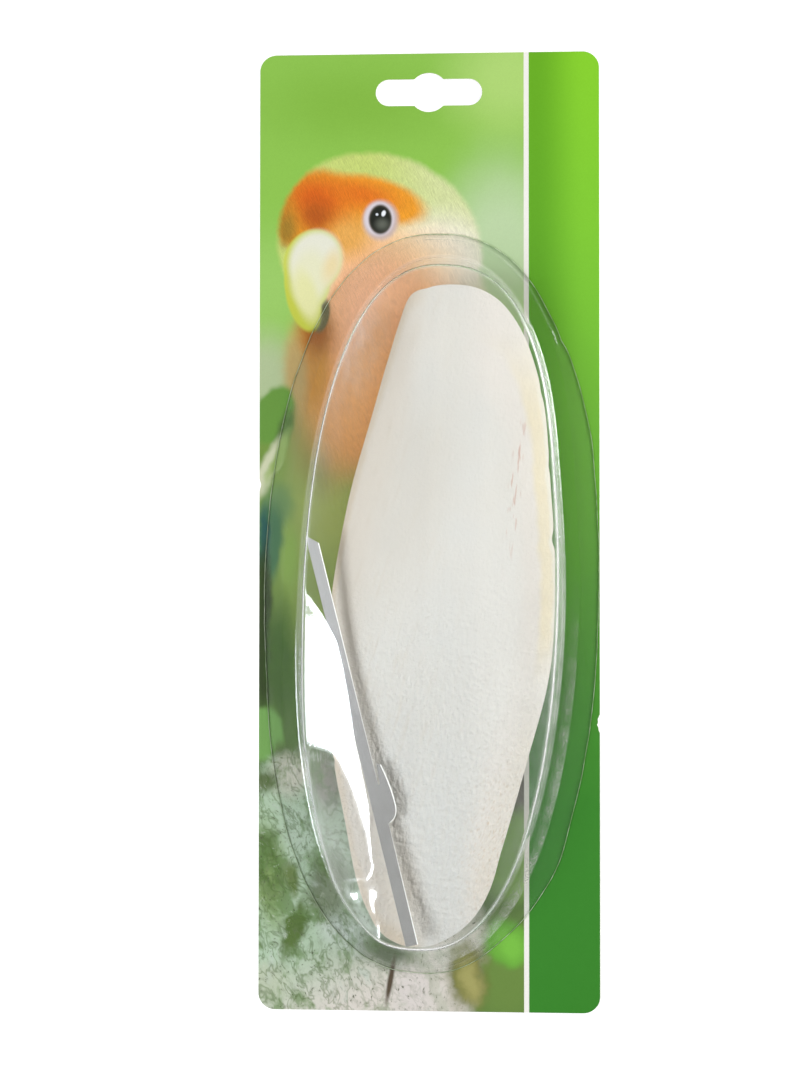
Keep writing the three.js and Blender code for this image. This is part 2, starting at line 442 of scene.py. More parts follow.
def parrot(s, paint, point, x, picture):
    """A parrot over the picture: head, crown, cheek and forehead, then breast, beak and eye."""
    fine = s.warped(point, 1.8, 1.1, 3)
    head_mask = s.blob(fine, (-21, 88), (24.6, 25.4), 0, 0.05)
    for centre, radii, soft in HEAD_OVALS:
        head_mask = s.math("MAXIMUM", head_mask, s.blob(fine, centre, radii, 0, soft))
    head = s.mix(s.fade(x, -20, 8), srgb(194, 209, 116), srgb(208, 217, 158))
    head = paint(head, fine, HEAD_SPOTS)
    bird = s.mix(head_mask, picture, head)
    bird = paint(bird, fine, BREAST_SPOTS)
    feathers = s.placed(fine, (-10, 60), (0.28, 3.2), 24)
    streak = s.fade(s.noise(feathers, 1.0, 3, 0.65), 0.3, 0.7, 0.86, 1.10)
    down = s.noise(s.placed(point, (0, 0), (0.3, 1.6), -35), 1.0, 2, 0.6)
    streak = s.times(streak, s.fade(down, 0.3, 0.7, 0.95, 1.04))
    plumage = s.dim(bird, streak)
    whole = s.math("MAXIMUM", head_mask, s.blob(fine, (-12, 40), (27, 50), 4, 0.25))
    picture = s.mix(whole, bird, plumage)
    return paint(picture, point, FACE_SPOTS)


def mossy_rock(s, paint, point, loose, x, y, picture):
    """Pale stone over the lower left of the picture, with moss, grain and dark cracks."""
    crags = s.warped(point, 5, 7, 4)
    stone = s.placed(s.warped(point, 14, 8), (0, 0), (1, 1.7), 24)
    height = s.math("ADD", y, s.times(x, -0.5))
    rock = s.mix(s.fade(height, -103, -132), srgb(176, 199, 170), srgb(210, 204, 194))
    rock = paint(rock, loose, STONE_SPOTS)
    rock = paint(rock, crags, MOSS_SPOTS)
    mossy = s.fade(x, -4, -32, 0.3, 1.0)
    patches = s.noise(stone, 8, 4, 0.6)
    moss = s.times(s.fade(patches, 0.49, 0.62, 0, 0.75), mossy)
    rock = s.mix(moss, rock, srgb(100, 132, 72))
    rock = s.mix(s.fade(patches, 0.42, 0.30, 0, 0.6), rock, srgb(188, 200, 186))
    seams = s.math("ABSOLUTE", s.math("SUBTRACT", s.noise(stone, 6, 3, 0.6), 0.5))
    seam = s.times(s.fade(seams, 0.04, 0.0, 0, 0.5), mossy)
    rock = s.mix(seam, rock, srgb(76, 102, 44))
    grain = s.noise(stone, 1.8, 5, 0.72)
    rock = s.mix(s.fade(grain, 0.48, 0.68, 0, 0.36), rock, srgb(106, 116, 88))
    rock = s.mix(s.fade(grain, 0.42, 0.30, 0, 0.45), rock, srgb(208, 214, 200))
    cracks = s.noise(stone, 0.9, 3, 0.7)
    rock = s.mix(s.fade(cracks, 0.60, 0.70, 0, 0.8), rock, srgb(70, 76, 50))
    rock = paint(rock, point, DARK_CRACK)
    picture = s.mix(s.blob(crags, (-29, -121), (45, 56), 0, 0.06), picture, rock)
    return paint(picture, crags, MOSS_BESIDE)


def card_picture(name, low, high):
    """The printed picture from one height up the card to another: greenery, a parrot and a rock."""
    s = Shader(name)
    point = s.point()
    x, y, _ = s.split(point)
    loose = s.warped(point, 9, 4)

    def paint(under, over, spots):
        for colour, centre, radii, turn, soft in spots:
            lean = math.radians(turn)
            reach = math.hypot(radii[0] * math.sin(lean), radii[1] * math.cos(lean))
            reach = reach * (1 + soft) + WARP_ROOM
            if low - reach < centre[1] < high + reach:     # the others don't come into this part
                under = s.mix(s.blob(over, centre, radii, turn, soft), under, srgb(*colour))
        return under

    picture = s.mix(s.fade(y, 60, 20), srgb(138, 190, 76), srgb(116, 146, 64))
    picture = s.mix(s.fade(y, 5, -45), picture, srgb(84, 114, 54))
    picture = paint(picture, loose, GREENERY)
    picture = paint(picture, loose, BACK_SPOTS)
    if high > PARROT_FROM:
        picture = parrot(s, paint, point, x, picture)
    picture = paint(picture, loose, LEAVES)
    if low < ROCK_TO:
        picture = mossy_rock(s, paint, point, loose, x, y, picture)
    return printed(s, point, x, picture)


def card_band():
    """The green band down the card's right side."""
    s = Shader("print_band")
    point = s.point()
    x, y, _ = s.split(point)
    wander = s.times(s.math("SUBTRACT", s.noise(point, 30, 2), 0.5), 16)
    band = s.add("ValToRGB", {0: s.add(
        "MapRange", {0: s.math("ADD", y, wander), 1: -BAND_END, 2: BAND_END, 3: 0.0, 4: 1.0})})
    ramp = band.node.color_ramp
    while len(ramp.elements) < len(BAND_COLOURS):
        ramp.elements.new(0.5)
    for element, (place, colour) in zip(ramp.elements, BAND_COLOURS):
        element.position, element.color = place, srgb(*colour)
    deep = s.times(s.fade(x, 47, 32), s.fade(y, -95, -30))
    band = s.mix(deep, band, s.mix(1.0, band, srgb(200, 214, 190), "MULTIPLY"))
    return printed(s, point, x, band)


def card_board():
    """Bare grey-white board, for the card's back and its cut edges."""
    s = Shader("card_board")
    point = s.point()
    fibres = s.noise(s.placed(point, (0, 0), (1, 0.25), 12), 1.1, 5, 0.65)
    tone = s.mix(s.fade(fibres, 0.3, 0.7), srgb(214, 210, 200), srgb(230, 227, 219))
    flecks = s.noise(point, 0.5, 1)
    tone = s.mix(s.fade(flecks, 0.7, 0.78, 0, 0.5), tone, srgb(176, 168, 154))
    return s.finish(s.add("BsdfPrincipled", {
        "Base Color": tone, "Roughness": 0.85, "Normal": s.bump(fibres, 0.25, 0.05)}))


def tear_edge(shape, side, middle, length, depth):
    """Bites a ragged notch into the card's long side that passes a height."""
    passing = [
        e for e in shape.edges
        if all(abs(v.co.x - side) < CLOSE for v in e.verts)
        and min(v.co.y for v in e.verts) < middle * MM < max(v.co.y for v in e.verts)]
    made = bmesh.ops.subdivide_edges(shape, edges=passing, cuts=TEAR_CUTS)
    corners = [part for part in made["geom_inner"] if isinstance(part, bmesh.types.BMVert)]
    rows = sorted({round(v.co.y, 5) for v in corners})
    for rank, row in enumerate(rows):
        share = rank / (len(rows) - 1)
        bite = depth * math.sin(math.pi * share) * (1.2 if rank % 2 else 0.8)
        for v in shape.verts:
            if abs(v.co.x - side) < CLOSE and abs(v.co.y - row) < 2 * CLOSE:
                v.co.y = (middle + length * (share - 0.5)) * MM
                v.co.x -= math.copysign(bite * MM, side)


def cad_shape(node):
    """A CAD node's mesh, with its doubled corners joined and its flat faces whole."""
    shape = bmesh.new()
    shape.from_mesh(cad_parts[node].data)
    bmesh.ops.remove_doubles(shape, verts=shape.verts, dist=1e-6)
    bmesh.ops.dissolve_limit(
        shape, angle_limit=math.radians(1), verts=shape.verts, edges=shape.edges)
    return shape


def as_mesh(name, shape):
    """The shape as a mesh whose faces have at most four corners."""
    bmesh.ops.triangulate(shape, faces=[f for f in shape.faces if len(f.verts) > 4])
    mesh = bpy.data.meshes.new(name)
    shape.to_mesh(mesh)
    shape.free()
    return mesh


def add_card():
    shape = cad_shape("card")
    cuts = [((LINE_X, 0), (1, 0)), *[((0, height), (0, 1)) for height in PICTURE_PARTS[1:3]]]
    for place, across in cuts:
        bmesh.ops.bisect_plane(
            shape, geom=[*shape.verts, *shape.edges, *shape.faces], dist=1e-7,
            plane_co=(place[0] * MM, place[1] * MM, 0), plane_no=(*across, 0))
    for tear in TEARS:
        tear_edge(shape, *tear)
    rim = [e for e in shape.edges if len(e.link_faces) == 2 and e.calc_face_angle(0) > CORNER]
    bmesh.ops.bevel(
        shape, geom=rim, offset=CARD_BEVEL * MM, segments=2, profile=0.5, affect="EDGES")

    mesh = as_mesh("hang_card", shape)
    mesh.materials.append(card_board())
    mesh.materials.append(card_band())
    for part, (low, high) in enumerate(zip(PICTURE_PARTS, PICTURE_PARTS[1:])):
        mesh.materials.append(card_picture(f"print_picture_{part + 1}", low, high))
    for face in mesh.polygons:
        middle = face.center / MM
        if face.normal.z < 0.9:
            face.material_index = 0
        elif middle.x > LINE_X:
            face.material_index = 1
        else:
            face.material_index = 2 + sum(middle.y > height for height in PICTURE_PARTS[1:3])
    new_piece("hang_card", mesh, "card")


# ---------------- the cuttlebone

BONE_STEPS = 520         # points round the rim
BACK_RINGS = 150         # rings over the hard upper side
BELLY_RINGS = 18         # and under the soft lower side
SMALLEST_BACK, SMALLEST_BELLY = 0.02, 0.06      # each side's smallest ring, as a share of the rim
RIM_CROWDING = 1.25      # above 1, the upper side's rings lie closer together near the rim
BELLY_TUCK = 0.997       # the lower side lies this little inside the rim
BACK_POWER, BACK_ROOT = 2.8, 0.8        # how full the hard upper side is
BELLY_POWER, BELLY_ROOT = 2.2, 0.9      # and the soft lower side
RELIEF_ROOM = 0.45       # height in millimetres that is left for the surface detail
# chips in the right rim: height up the card, half length and depth in millimetres
CHIPS = [(-3.0, 2.2, 0.7), (18.5, 1.4, 0.25), (-14.5, 1.2, 0.2), (40, 2.0, 0.25)]


def rim_outline(node):
    """A CAD node's widest ring: its middle, its corners' angles and distances, and its heights."""
    points = np.array([v.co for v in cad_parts[node].data.vertices])
    levels = np.round(points[:, 2] / MM, 2)
    spans = {level: np.ptp(points[levels == level, 0]) for level in set(levels)}
    widest = max(spans.values())
    rim_levels = sorted(level for level, span in spans.items() if span > widest - 0.05 * MM)
    low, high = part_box(node)
    middle = np.array([(low.x + high.x) / 2, (low.y + high.y) / 2])
    away = points[levels == rim_levels[0], :2] - middle
    away = np.unique(np.round(away, 6), axis=0)
    turns = np.arctan2(away[:, 1], away[:, 0])
    order = np.argsort(turns)
    return middle, turns[order], np.linalg.norm(away[order], axis=1), rim_levels


def arc_lines(x, y):
    """Growth arcs across the bone, convex towards its head end, broken up by slow noise."""
    bend = 0.017 * (x - 6) ** 2
    wander = np.array([noise.noise((a / 9, b / 9, 3.7)) for a, b in zip(x, y)])
    return np.sin((y + bend + 2.4 * wander) * 2 * math.pi / 1.7)


def bone_relief(x, y, share):
    """Height in millimetres that the surface detail adds at points of the upper side."""
    slow = np.array([noise.noise((a / 22, b / 34, 0.5)) for a, b in zip(x, y)])
    cells = np.array([noise.noise((a / 0.85, b / 1.25, 8.1)) for a, b in zip(x, y)])
    pits = np.array([noise.noise((a / 1.9, b / 1.5, 4.4)) for a, b in zip(x, y)])
    tail = smooth(-5, -70, y)
    inside = 1 - smooth(0.93, 0.995, share)
    middle_x = 6.2 + 0.045 * (y + 25)
    ribs = np.exp(-((x - middle_x + 7) / 2.2) ** 2) + np.exp(-((x - middle_x - 8) / 2.6) ** 2)
    arcs = smooth(8, -25, y) * (1 - 0.75 * smooth(-70, -105, y)) * arc_lines(x, y)
    grain = tail * (0.24 * cells + 0.26 * smooth(-50, -100, y) * pits)
    full_side = 1.1 * np.exp(-((x + 20) / 8) ** 2 - ((y + 32) / 26) ** 2)
    return inside * (0.30 * slow + 0.14 * ribs + 0.035 * arcs + grain + full_side)


def horny_margin(s, tone, x, y, right, edge):
    """The rim's right side: cream, then tan and a paler stretch low down."""
    cream = s.times(s.fade(y, 62, 30), s.fade(y, -50, -28))
    tone = s.tint(tone, (243, 229, 196), right, cream, s.fade(edge, 0.83, 0.90, 0, 0.9))
    tone = s.tint(tone, (241, 236, 222), right, cream, s.fade(edge, 0.955, 0.985, 0, 0.85))
    tan = s.times(s.fade(y, -42, -64), s.fade(y, -118, -100))
    tone = s.tint(tone, (234, 222, 206), right, tan, s.fade(edge, 0.76, 0.96, 0, 0.8))
    tone = s.tint(tone, (246, 242, 236), s.fade(x, 10, 24), s.fade(y, -28, -48),
                  s.fade(y, -116, -96, 0, 0.5))
    return tone


def bone_material():
    """Chalky lime with a horny rim, warm stains, streaks and pores. edge is 1 at the rim."""
    s = Shader("cuttlebone_lime")
    point = s.point()
    x, y, _ = s.split(point)
    rim = s.add("Attribute", {}, out="Fac", attribute_name="rim_share")
    wide = s.noise(point, 26, 3)
    wander = s.times(s.math("SUBTRACT", s.noise(point, 6, 3), 0.5), 0.05)
    edge = s.math("ADD", rim, wander)
    left, right = s.fade(x, 2, -8), s.fade(x, 8, 18)

    tone = s.mix(s.fade(y, 60, -110), srgb(233, 228, 220), srgb(228, 226, 221))
    tone = s.mix(s.fade(wide, 0.35, 0.7, 0, 0.4), tone, srgb(228, 229, 227))
    tone = s.tint(tone, (219, 211, 199), s.blob(point, (-9, 6), (13, 36), -22, 0.6),
                  s.fade(wide, 0.2, 0.6, 0.3, 0.55))
    tone = s.tint(tone, (241, 236, 229), s.fade(x, 2, 26), s.fade(y, 16, -24, 0.2, 0.6))
    tone = s.tint(tone, (228, 217, 203), left, s.fade(edge, 0.55, 0.92, 0, 0.85))
    tone = s.tint(tone, (214, 196, 170), left, s.fade(edge, 0.93, 0.985, 0, 0.7))
    tone = s.tint(tone, (241, 233, 225), right, s.fade(edge, 0.62, 0.80, 0, 0.85))
    # faint brown streaks, most of all down the left half
    streaks = s.noise(s.placed(point, (0, 0), (1.8, 15), -16), 1, 4, 0.65)
    tone = s.tint(tone, (218, 207, 192), s.fade(streaks, 0.50, 0.70, 0, 0.4),
                  s.fade(x, 12, -14, 0.25, 1.0))
    tone = horny_margin(s, tone, x, y, right, edge)
    # long reddish streaks, tan freckles and fibres, then the chalk's grain, painted shade in the
    # pores' pits, and relief
    hair = s.noise(s.placed(point, (0, 0), (0.8, 7), -6), 1, 2)
    tone = s.tint(tone, (205, 150, 130), s.blob(point, (25.6, 12), (2.0, 20), -7, 0.5),
                  s.fade(hair, 0.58, 0.66, 0, 0.6))
    grain = s.noise(s.placed(point, (0, 0), (0.45, 1.5), -28), 1, 2)
    tone = s.tint(tone, (208, 178, 144), s.fade(grain, 0.56, 0.68, 0, 0.55),
                  s.fade(y, -50, -88), s.fade(x, 2, 20), s.fade(edge, 0.45, 0.8))
    tone = s.tint(tone, (206, 190, 166), s.fade(grain, 0.60, 0.7, 0, 0.4), left,
                  s.fade(y, -60, -100))
    chalk = s.noise(point, 0.5, 4, 0.7)
    tone = s.mix(s.fade(chalk, 0.3, 0.75, 0, 0.2), tone, srgb(204, 201, 192))
    arcs = s.noise(s.placed(point, (0, 0), (3.2, 0.7), 18), 1, 3, 0.6)
    pores_and_pit_shade = s.noise(s.placed(point, (0, 0), (1.0, 1.5), -12), 1, 3, 0.6)
    low = s.fade(y, 5, -70, 0.25, 1.0)
    # painted shade: the pores' pits are darkened as if shade fell into them
    tone = s.tint(tone, (209, 204, 194), s.fade(pores_and_pit_shade, 0.50, 0.34, 0, 0.28), low)
    relief = s.bump(s.times(arcs, s.fade(y, 10, -40)), 0.5, 0.4)
    relief = s.bump(s.times(pores_and_pit_shade, low), 1.0, 0.8, relief)
    relief = s.bump(chalk, 0.3, 0.1, relief)
    return s.finish(s.add("BsdfPrincipled", {
        "Base Color": tone, "Roughness": s.fade(wide, 0.3, 0.7, 0.62, 0.78),
        "Specular IOR Level": 0.3, "Normal": relief}))


def round_the_rim(turns, reaches, way):
    """Distances at the angles way, by a periodic cubic through the given corners."""
    t = np.concatenate([turns - 2 * math.pi, turns, turns + 2 * math.pi])
    r = np.tile(reaches, 3)
    slope = np.gradient(r, t)
    place = np.clip(np.searchsorted(t, way) - 1, 0, len(t) - 2)
    span = t[place + 1] - t[place]
    u = (way - t[place]) / span
    return (
        r[place] * (1 + 2 * u) * (1 - u) ** 2 + slope[place] * span * u * (1 - u) ** 2
        + r[place + 1] * u ** 2 * (3 - 2 * u) + slope[place + 1] * span * u ** 2 * (u - 1))


def bone_rim(low, high, middle, turns, reaches):
    """The bone's outline about its middle, in metres, with the chips bitten out of it."""
    angle = np.arange(BONE_STEPS) * 2 * math.pi / BONE_STEPS - math.pi
    half = np.array([(high.x - low.x) / 2, (high.y - low.y) / 2])
    way = np.arctan2(half[1] * np.sin(angle), half[0] * np.cos(angle))
    reach = round_the_rim(turns, reaches, way)
    rim = np.stack([reach * np.cos(way), reach * np.sin(way)], axis=1)
    for at_y, length, depth in CHIPS:
        up_card = (rim[:, 1] + middle[1]) / MM
        bite = depth * np.exp(-((up_card - at_y) / length) ** 2) * (rim[:, 0] > 0)
        rim[:, 0] -= bite * MM
    return rim


def add_bone():
    low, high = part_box("cuttlebone")
    middle, turns, reaches, rim_levels = rim_outline("cuttlebone")
    rim = bone_rim(low, high, middle, turns, reaches)
    rim_bottom, rim_top = rim_levels[0] * MM, rim_levels[-1] * MM
    tall, deep = high.z - rim_top - RELIEF_ROOM * MM, rim_bottom - low.z

    rings, rim_share = [], [0.0]
    for share in 1 - (1 - np.linspace(SMALLEST_BACK, 1, BACK_RINGS)) ** RIM_CROWDING:
        flat = middle + share * rim
        height = rim_top + tall * max(0.0, 1 - share ** BACK_POWER) ** BACK_ROOT
        height = height + bone_relief(*(flat.T / MM), np.full(BONE_STEPS, share)) * MM
        rings.append(np.column_stack([flat, height]))
        rim_share += [share] * BONE_STEPS
    rings.append(np.column_stack([middle + rim, np.full(BONE_STEPS, (rim_top + rim_bottom) / 2)]))
    rim_share += [1.0] * BONE_STEPS
    for share in np.linspace(1, SMALLEST_BELLY, BELLY_RINGS):
        flat = middle + share * rim * BELLY_TUCK
        height = rim_bottom - deep * max(0.0, 1 - share ** BELLY_POWER) ** BELLY_ROOT
        rings.append(np.column_stack([flat, np.full(BONE_STEPS, height)]))
        rim_share += [share] * BONE_STEPS
    rim_share.append(0.0)

    mesh = ring_mesh(
        "cuttlebone_shell", rings, (*middle, rings[0][:, 2].mean()), (*middle, low.z))
    give(mesh, "rim_share", rim_share)
    shade_smooth(mesh, 50)
    mesh.materials.append(bone_material())
    new_piece("cuttlebone_shell", mesh, "cuttlebone")


# ---------------- the cage clip

ROLLED = 0.27       # how wide the strip's rolled edge is, millimetres


def clip_material():
    """Dull rolled steel, lighter towards the upper end and darker towards the foot."""
    s = Shader("clip_steel")
    point = s.point()
    _, y, _ = s.split(point)
    rolled = s.noise(s.placed(point, (0, 0), (0.35, 6), 14.6), 1, 4, 0.6)
    cloud = s.noise(point, 4, 3)
    tone = s.mix(s.fade(rolled, 0.3, 0.7), srgb(158, 156, 155), srgb(172, 170, 169))
    tone = s.mix(s.fade(cloud, 0.4, 0.75, 0, 0.4), tone, srgb(148, 146, 145))
    tone = s.mix(s.fade(y, -60, -10, 0, 0.55), tone, srgb(194, 193, 192))
    tone = s.mix(s.fade(y, -40, -95, 0, 0.55), tone, srgb(138, 136, 131))
    return s.finish(s.add("BsdfPrincipled", {
        "Base Color": tone, "Metallic": 0.35, "Roughness": s.fade(rolled, 0.2, 0.8, 0.45, 0.6),
        "Normal": s.bump(rolled, 0.12, 0.03)}))


def clip_edge_highlight_material():
    """The rolled-over cut edge as a painted highlight: a near-white tone and a weak glow in place of
    the lamp that it mirrors.
    """
    s = Shader("clip_edge_painted_highlight")
    streaks = s.noise(s.point(), 0.25, 3)
    tone = s.mix(s.fade(streaks, 0.3, 0.7), srgb(244, 243, 241), srgb(252, 252, 250))
    return s.finish(s.add("BsdfPrincipled", {
        "Base Color": tone, "Metallic": 0.15, "Roughness": s.fade(streaks, 0.2, 0.8, 0.3, 0.42),
        "Emission Color": (1, 1, 1, 1), "Emission Strength": 0.18}))


def add_clip():
    shape = cad_shape("clip")
    shape.normal_update()
    rolled = []     # the upper edges of the sides that face right
    for edge in shape.edges:
        if len(edge.link_faces) != 2:
            continue
        upper, side = sorted(edge.link_faces, key=lambda f: -f.normal.z)
        if upper.normal.z > 0.9 and abs(side.normal.z) < 0.5 and side.normal.x > 0.6:
            rolled.append(edge)
    made = bmesh.ops.bevel(
        shape, geom=rolled, offset=ROLLED * MM, segments=2, profile=0.5, affect="EDGES")
    bright = set(made["faces"])
    # the bevel's faces take the painted highlight of the cut edge
    for face in shape.faces:
        face.material_index = 1 if face in bright else 0
    mesh = as_mesh("cage_clip", shape)
    mesh.materials.append(clip_material())
    mesh.materials.append(clip_edge_highlight_material())
    new_piece("cage_clip", mesh, "clip")


# ---------------- the blister

FILM = 0.4               # sheet thickness, and like all sizes here in millimetres
AROUND = 360             # points round each ring
MIDDLE = ((blister_low.x + blister_high.x) / 2 / MM, (blister_low.y + blister_high.y) / 2 / MM)
HALF = ((blister_high.x - blister_low.x) / 2 / MM, (blister_high.y - blister_low.y) / 2 / MM)
# ovals round the blister: shift of the middle, half sizes less than the flange's, fullness, turn,
# and how far the right side is pressed in
FLANGE = dict(shift=(0, -0.2), less=(0, 0.1), power=2.28, turn=-1.4, pressed=0)
FOOT = dict(shift=(0.2, -0.4), less=(10.6, 7.1), power=2.28, turn=-2.4, pressed=1.4)
SHOULDER = dict(shift=(0.4, -0.9), less=(13.2, 12.2), power=2.42, turn=-2.7, pressed=1.0)
SHOULDER_RADIUS, FOOT_RADIUS = 1.3, 1.2
CROWN_RISE = 1.5
CROWN_RINGS, WALL_RINGS, SEAL_RINGS, FLANGE_RINGS = 88, 9, 4, 5
SMALLEST_CROWN = 0.015   # the first ring, as a share of the crown
SHOULDER_TURNS = np.linspace(82, 0, 9)  # degrees round the shoulder's curve, from its top
FOOT_TURNS = (22, 45, 68)  # and round the foot's
WALL_BOW = 1.15          # above 1, the wall bows in
SEAL_WIDTH = 3.9         # heat-sealed band round the foot of the dome
SEAL_MOST = 0.6          # and its largest share of the flange's width
LIP_INSIDE, LIP_RISE = 1.7, 0.12  # a faint raised line that runs just inside the cut
NEAR_CUT = (1.3, 0.7, 0.14)  # how far inside the cut the last rings lie
# where the flange's cut edge leaves its oval: angle and spread in degrees, and how far outwards
CUT_WANDER = [
    (67, 5, -0.9), (63.4, 1.2, -0.6), (47, 8, 0.6), (-64, 5, 1.2), (-79, 5, -1.0), (-150, 20, -0.7)]
# the clip tents the film: the ridge over it, then the fold that drops away below its left side,
# as pairs of y and x
RIDGE = [
    (-2, -48), (-20.9, -32.7), (-25.5, -29.3), (-32.4, -25.5), (-39.3, -23.8), (-46.1, -22.4),
    (-59.9, -20.4), (-79.9, -16.1), (-93.7, -15.8), (-97, -15.2), (-101, -17.6), (-107, -16.6),
    (-113, -13.5)]
FOLD = [
    (-64.4, -46), (-64.9, -31), (-65.8, -26.5), (-72.8, -22.7), (-81.4, -19.5), (-89.7, -16.7),
    (-94, -16.0), (-97, -15.2), (-101, -17.6), (-107, -16.6), (-113, -13.5)]
RIDGE_SLOPE, FOLD_SLOPE = 0.345, 0.36
FOLD_SOFTNESS = 0.35     # how wide the bend is at a ridge or fold
# how milky each part of the dome is all round, and how much more so on its right side; the milk is
# partly real haze and dust on the plastic and partly a painted reflection, the whitish sheen of the
# walls
MILK_AND_SHEEN = {"crown": (0.012, 0.09), "shoulder": (0.03, 0.11), "wall": (0.05, 0.15), "foot": (0.06, 0.14)}
CROWN_HALF = (36.5, 98.5)    # half sizes of the crown, for its milkiness
# roughness, ripple and stipple of each film, and the sheen of all but the last
CLEAR_FILM = (0.04, 0.02, 0.02, 0.5)
FOOT_FILM = (0.05, 0.5, 0.25, 0.3)
SHOULDER_FILM = (0.2, 0.35, 0.1, 0.1)
SEALED_FILM = (0.04, 0.2, 0.12)
# the parts of the sheet that take another material than the first, the clear film
PART_MATERIALS = {"foot": 1, "seal": 2, "edge": 3, "shoulder": 4}


def ring_of(shape, inset):
    middle = (MIDDLE[0] + shape["shift"][0], MIDDLE[1] + shape["shift"][1])
    half = (HALF[0] - shape["less"][0] - inset, HALF[1] - shape["less"][1] - inset)
    ring = oval(middle, half, shape["power"], shape["turn"], AROUND)
    # the right side is pressed in a little above the middle
    beside = np.exp(-((ring[:, 1] - 14) / 26) ** 2) * smooth(10, 30, ring[:, 0])
    ring[:, 0] -= shape["pressed"] * beside
    return ring


def left_of(line, x, y):
    """How far a point lies to the left of a line given as y and x pairs, softly from 0."""
    rows = np.array(sorted(line))
    beside = np.interp(y, rows[:, 0], rows[:, 1]) - x
    return np.logaddexp(0, beside / FOLD_SOFTNESS) * FOLD_SOFTNESS


def sag(x, y):
    """How far the film is pulled down beside the ridge and the fold, and in a dent low down."""
    fold = RIDGE_SLOPE * left_of(RIDGE, x, y) + FOLD_SLOPE * left_of(FOLD, x, y)
    dent = 1.5 * np.exp(-(((x + 18.5) / 3.4) ** 2 + ((y + 104.5) / 4.6) ** 2))
    return fold + dent


def ring_milk_and_sheen(flat, middle, part):
    """How milky the film is along one ring: most at the dome's right side, and by the fold. The milk
    is partly real haze and dust, partly a painted reflection of the walls' whitish sheen.
    """
    x, y = flat[:, 0], flat[:, 1]
    right = smooth(12, 40, x) * (0.4 + 0.6 * smooth(-95, -30, y)) * (1 - 0.35 * smooth(-10, 14, y))
    edge_share = np.hypot(*((flat - middle) / CROWN_HALF).T)
    all_round, more = MILK_AND_SHEEN.get(part, (0, 0))
    if part == "crown":
        left_cloud = 0.04 * np.exp(-((y - 18) / 18) ** 2) * (x < 0)
        whole = (all_round + left_cloud + more * right) * smooth(0.80, 1.0, edge_share)
    else:
        whole = all_round + more * right
    folded = 0.20 * np.exp(-((x + 30) / 9) ** 2 - ((y + 96) / 18) ** 2)
    return whole + folded * (part in ("crown", "shoulder", "wall"))


def film_shader(s, point, rough, ripple, stipple, sheen=0.0):
    """Clear film: see-through plastic, with waves from forming, a ripple and a fine stipple."""
    normal = s.bump(s.noise(point, 14, 2), 0.25, 0.35)
    normal = s.bump(s.noise(point, 1.6, 3, 0.6), ripple, 0.12, normal)
    normal = s.bump(s.noise(point, 0.45, 2, 0.7), stipple, 0.05, normal)
    glass = s.add("BsdfPrincipled", {
        "Base Color": (0.97, 0.985, 0.98, 1), "Transmission Weight": 1.0, "IOR": 1.5,
        "Roughness": rough, "Normal": normal, "Coat Weight": sheen, "Coat Roughness": 0.16,
        "Coat Normal": normal})
    # lamps and bounced light pass the film straight, with a small share of them taken off
    clear = s.add("BsdfTransparent", {"Color": (0.96, 0.965, 0.96, 1)})
    lamp_ray = s.add("LightPath", {}, out="Is Shadow Ray")
    bounce_ray = s.add("LightPath", {}, out="Is Diffuse Ray")
    film = s.add("MixShader", {0: lamp_ray, 1: glass, 2: clear})
    return s.add("MixShader", {0: bounce_ray, 1: film, 2: clear})


def film_material(name, film):
    """Film of the dome or the flange, as milky as the mesh's milk attribute says: a white haze that
    is partly real haze and dust and partly a painted reflection.
    """
    s = Shader(name)
    point = s.point()
    film = film_shader(s, point, *film)
    milk_and_sheen = s.add("Attribute", {}, out="Fac", attribute_name="milk_and_sheen")
    cloud = s.fade(s.noise(s.placed(point, (0, 0), (2.5, 7), 8), 1, 4, 0.6), 0.3, 0.7, 0.65, 1.2)
    # the white haze: partly real haze and dust, partly a painted reflection of the film's whitish
    # sheen
    haze = s.add("BsdfPrincipled", {
        "Base Color": s.mix(cloud, srgb(216, 219, 214), srgb(236, 237, 234)), "Roughness": 0.6})
    return s.finish(s.add("MixShader", {0: s.times(milk_and_sheen, cloud), 1: film, 2: haze}))


def sealed_material():
    """Film welded to the card, with a grain of tiny white air specks on the lower right."""
    s = Shader("sealed_film")
    point = s.point()
    x, y, _ = s.split(point)
    film = film_shader(s, point, *SEALED_FILM)
    band = s.add("Attribute", {}, out="Fac", attribute_name="seal_share")
    specks = s.fade(s.noise(point, 0.3, 2, 0.8), 0.44, 0.66)
    patches = s.fade(s.noise(point, 6, 3), 0.3, 0.65, 0.45, 1.0)
    across = s.times(s.fade(band, 0.0, 0.7, 0.25, 1.0), s.fade(band, 1.0, 0.86))
    right = s.times(s.fade(x, -8, 24, 0.12, 1.0), s.fade(y, -10, -62))
    share = s.times(s.times(specks, patches), s.times(across, right))
    haze = s.add("BsdfPrincipled", {
        "Base Color": s.mix(patches, srgb(214, 216, 206), srgb(236, 236, 230)), "Roughness": 0.7})
    return s.finish(s.add("MixShader", {0: s.times(share, 0.5), 1: film, 2: haze}))


def cut_edge_material():
    """The flange's cut edge, which catches the light as a pale line."""
    s = Shader("film_cut_edge")
    nicks = s.noise(s.point(), 2.5, 3)
    tone = s.mix(s.fade(nicks, 0.3, 0.7), srgb(150, 176, 128), srgb(224, 234, 212))
    return s.finish(s.add("BsdfPrincipled", {
        "Base Color": tone, "Roughness": 0.35, "Transmission Weight": 0.6, "IOR": 1.5}))


# Below, a ring is its flat outline, the height of the film's outer side, and which part it is.

